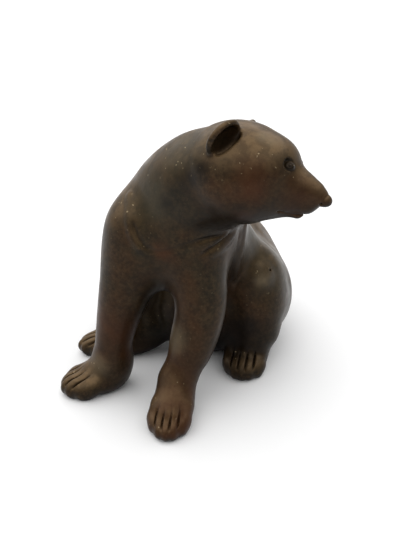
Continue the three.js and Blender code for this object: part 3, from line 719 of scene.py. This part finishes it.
class Nodes:
    """Short calls for a material's node tree. An input is a number, a colour or another node's output."""

    def __init__(self, name):
        self.material = bpy.data.materials.new(name)
        self.material.use_nodes = True
        self.tree = self.material.node_tree
        self.shader = self.tree.nodes["Principled BSDF"]

    def link(self, value, socket):
        if isinstance(value, bpy.types.NodeSocket):
            self.tree.links.new(value, socket)
        else:
            socket.default_value = value

    def add(self, kind, inputs=(), **settings):
        node = self.tree.nodes.new(kind)
        for key, value in settings.items():
            setattr(node, key, value)
        for key, value in dict(inputs).items():
            self.link(value, node.inputs[key])
        return node

    def math(self, operation, a, b):
        return self.add("ShaderNodeMath", {0: a, 1: b}, operation=operation).outputs[0]

    def ramp(self, value, low, high, to_low=0.0, to_high=1.0):
        """A smooth step of value from low to high."""
        inputs = {"Value": value, "From Min": low, "From Max": high, "To Min": to_low, "To Max": to_high}
        return self.add("ShaderNodeMapRange", inputs, interpolation_type="SMOOTHSTEP").outputs["Result"]

    def noise(self, place, size, detail, roughness, offset=0.0):
        """Noise whose features are about size metres wide. The offset makes it another one."""
        inputs = {"Vector": place, "Scale": 1 / size, "Detail": detail, "Roughness": roughness, "W": offset}
        return self.add("ShaderNodeTexNoise", inputs, noise_dimensions="4D").outputs["Fac"]

    def layer(self, place, low, high, to_low=0.0, to_high=1.0, **noise):
        """Where a noise comes in: a smooth step of it."""
        return self.ramp(self.noise(place, **noise), low, high, to_low, to_high)

    def mix(self, share, a, b):
        first, second = MIX_COLOURS
        node = self.add("ShaderNodeMix", {0: share, first: a, second: b}, data_type="RGBA")
        return node.outputs[MIX_RESULT]

    def ball(self, place, centre, inner, outer):
        """One within inner of a centre, fading to none at outer."""
        away = self.add("ShaderNodeVectorMath", {0: place, 1: centre}, operation="DISTANCE").outputs["Value"]
        return self.ramp(away, inner, outer, 1.0, 0.0)

    def spots(self, place, spots, spot):
        """The strongest of several balls, whose places and reaches are in clay millimetres."""
        whole = 0.0
        for centre, inner, outer in spots:
            ball = self.ball(place, tuple(spot(centre)), inner * MM, outer * MM)
            whole = self.math("MAXIMUM", whole, ball)
        return whole


def colour(values):
    """A linear colour from the red, green and blue that a screen shows."""
    return (*((value / SCREEN_WHITE) ** SCREEN_GAMMA for value in values), 1.0)


def add_wear_and_top_light(nodes, base, place, geometry, upward, mottle):
    """Dust and painted top light on what faces up, less on the dark mottle, and a pale grain of wear, most on
    what stands out.
    """
    thinned = nodes.ramp(mottle, *DUST_AND_TOP_LIGHT["mottled"])
    # Dust and painted top light: paler the more the surface faces up
    dust_and_top_light = nodes.math("MULTIPLY", nodes.ramp(upward, *DUST_AND_TOP_LIGHT["upward"]), thinned)
    base = nodes.mix(dust_and_top_light, base, colour(DUST_AND_TOP_LIGHT["colour"]))
    standing_out = nodes.ramp(geometry["Pointiness"], *WORN["bend"])
    worn = nodes.math("MULTIPLY", nodes.layer(place, **GRAIN), standing_out)
    return nodes.mix(worn, base, colour(WORN["colour"]))


def add_patches(nodes, base, place, cloud, spot):
    """Olive and red patches of patina, dark patches of painted shade, and pale ones that are mostly painted
    highlights, broken up by the clouds.
    """
    broken = nodes.ramp(cloud, *PATCH_BREAKS)
    for patch in PATCHES.values():
        share = nodes.math("MULTIPLY", nodes.spots(place, patch["spots"], spot), broken)
        base = nodes.mix(nodes.math("MULTIPLY", share, patch["share"]), base, colour(patch["colour"]))
    return base


def add_shade_and_hollows(nodes, base, place, geometry, upward, spot):
    """Painted shade round the eyes and underneath, and darker in the hollows, whichever is strongest."""
    eyes = [(HeadMap(side).place(EYE["centre"]), EYE_SHADE["full"], EYE_SHADE["last"]) for side in (-1, 1)]
    shade_and_hollows = nodes.math("MULTIPLY", nodes.spots(place, eyes, spot), EYE_SHADE["share"])
    hollow = nodes.ramp(geometry["Pointiness"], *UNDER_SHADE_AND_HOLLOWS["bend"])
    # Painted shade: darker the more the surface faces down
    under = nodes.ramp(upward, *UNDER_SHADE_AND_HOLLOWS["upward"])
    shade_and_hollows = nodes.math("MAXIMUM", shade_and_hollows, nodes.math("MAXIMUM", hollow, under))
    return nodes.mix(shade_and_hollows, base, colour(UNDER_SHADE_AND_HOLLOWS["colour"]))


def add_relief(nodes, place):
    """Soft unevenness and fine grit of the cast skin."""
    swell = nodes.math("MULTIPLY", nodes.noise(place, **SWELL), SWELL_SHARE)
    grit = nodes.math("MULTIPLY", nodes.noise(place, **GRIT), GRIT_SHARE)
    bump = nodes.add("ShaderNodeBump", {**BUMP, "Height": nodes.math("ADD", swell, grit)})
    nodes.link(bump.outputs["Normal"], nodes.shader.inputs["Normal"])


def bronze_material(spot):
    """Brown patina over bronze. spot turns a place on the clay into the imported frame."""
    nodes = Nodes("bronze_patina")
    place = nodes.add("ShaderNodeTexCoord").outputs["Object"]
    geometry = nodes.add("ShaderNodeNewGeometry").outputs
    upward = nodes.add("ShaderNodeSeparateXYZ", {0: geometry["Normal"]}).outputs["Z"]

    cloud = nodes.layer(place, **CLOUD)
    mottle = nodes.layer(place, **MOTTLE)
    base = nodes.mix(cloud, colour(BROWN), colour(WARM_BROWN))
    base = nodes.mix(nodes.math("MULTIPLY", mottle, MOTTLED["share"]), base, colour(MOTTLED["colour"]))
    base = add_wear_and_top_light(nodes, base, place, geometry, upward, mottle)
    base = add_patches(nodes, base, place, cloud, spot)
    base = add_shade_and_hollows(nodes, base, place, geometry, upward, spot)
    # Pale specks and painted glints of the top light, most on what faces up
    specks_and_glints = nodes.math("MULTIPLY", nodes.layer(place, **FLECKS), nodes.ramp(upward, *SPECKS_AND_GLINTS["upward"]))
    base = nodes.mix(specks_and_glints, base, colour(SPECKS_AND_GLINTS["colour"]))

    nodes.link(base, nodes.shader.inputs["Base Color"])
    nodes.shader.inputs["Metallic"].default_value = METALLIC
    nodes.shader.inputs["Specular IOR Level"].default_value = SPECULAR
    nodes.link(nodes.layer(place, **GLOSS), nodes.shader.inputs["Roughness"])
    add_relief(nodes, place)
    return nodes.material


def make_floor():
    bpy.ops.mesh.primitive_plane_add(size=FLOOR["size"])
    floor = bpy.context.object
    floor.name = "floor"
    nodes = Nodes("pale_floor")
    nodes.shader.inputs["Base Color"].default_value = colour(FLOOR["colour"])
    nodes.shader.inputs["Roughness"].default_value = FLOOR["roughness"]
    floor.data.materials.append(nodes.material)


def aim(thing, position, target):
    thing.location = position
    thing.rotation_euler = (Vector(target) - Vector(position)).to_track_quat("-Z", "Y").to_euler()


def make_sun(name, direction, angle, strength):
    """A soft light from one side of the sky, the wider its angle the softer."""
    data = bpy.data.lights.new(name, "SUN")
    data.angle = math.radians(angle)
    data.energy = strength
    light = bpy.data.objects.new(name, data)
    bpy.context.scene.collection.objects.link(light)
    aim(light, direction, (0, 0, 0))


def make_camera(spot):
    turn, rise = math.radians(CAMERA_TURN), math.radians(CAMERA_RISE)
    back = np.array((math.sin(turn) * math.cos(rise), -math.cos(turn) * math.cos(rise), math.sin(rise)))
    data = bpy.data.cameras.new("camera")
    data.sensor_fit = "VERTICAL"
    data.sensor_height = SENSOR
    data.lens = SENSOR * FOCAL_PIXELS / PICTURE_HEIGHT
    camera = bpy.data.objects.new("camera", data)
    bpy.context.scene.collection.objects.link(camera)
    aim(camera, spot(TARGET + back * CAMERA_DISTANCE), spot(TARGET))
    bpy.context.scene.camera = camera


def make_studio():
    make_sun("key_light", **KEY_LIGHT)
    world = bpy.data.worlds.new("studio")
    world.use_nodes = True
    background = world.node_tree.nodes["Background"]
    background.inputs["Color"].default_value = (1, 1, 1, 1)
    background.inputs["Strength"].default_value = SKY_STRENGTH
    bpy.context.scene.world = world
    bpy.context.scene.view_settings.view_transform = "Standard"


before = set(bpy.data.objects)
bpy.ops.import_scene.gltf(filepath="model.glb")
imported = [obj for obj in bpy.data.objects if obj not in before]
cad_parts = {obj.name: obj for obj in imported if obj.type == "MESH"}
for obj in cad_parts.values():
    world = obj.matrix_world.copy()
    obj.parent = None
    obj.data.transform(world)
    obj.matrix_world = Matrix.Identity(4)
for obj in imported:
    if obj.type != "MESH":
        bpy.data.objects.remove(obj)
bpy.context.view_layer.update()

bear, spot = make_bear()
bear.data.materials.append(bronze_material(spot))
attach(bear, "root")
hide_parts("bear")

make_floor()
make_studio()
make_camera(spot)
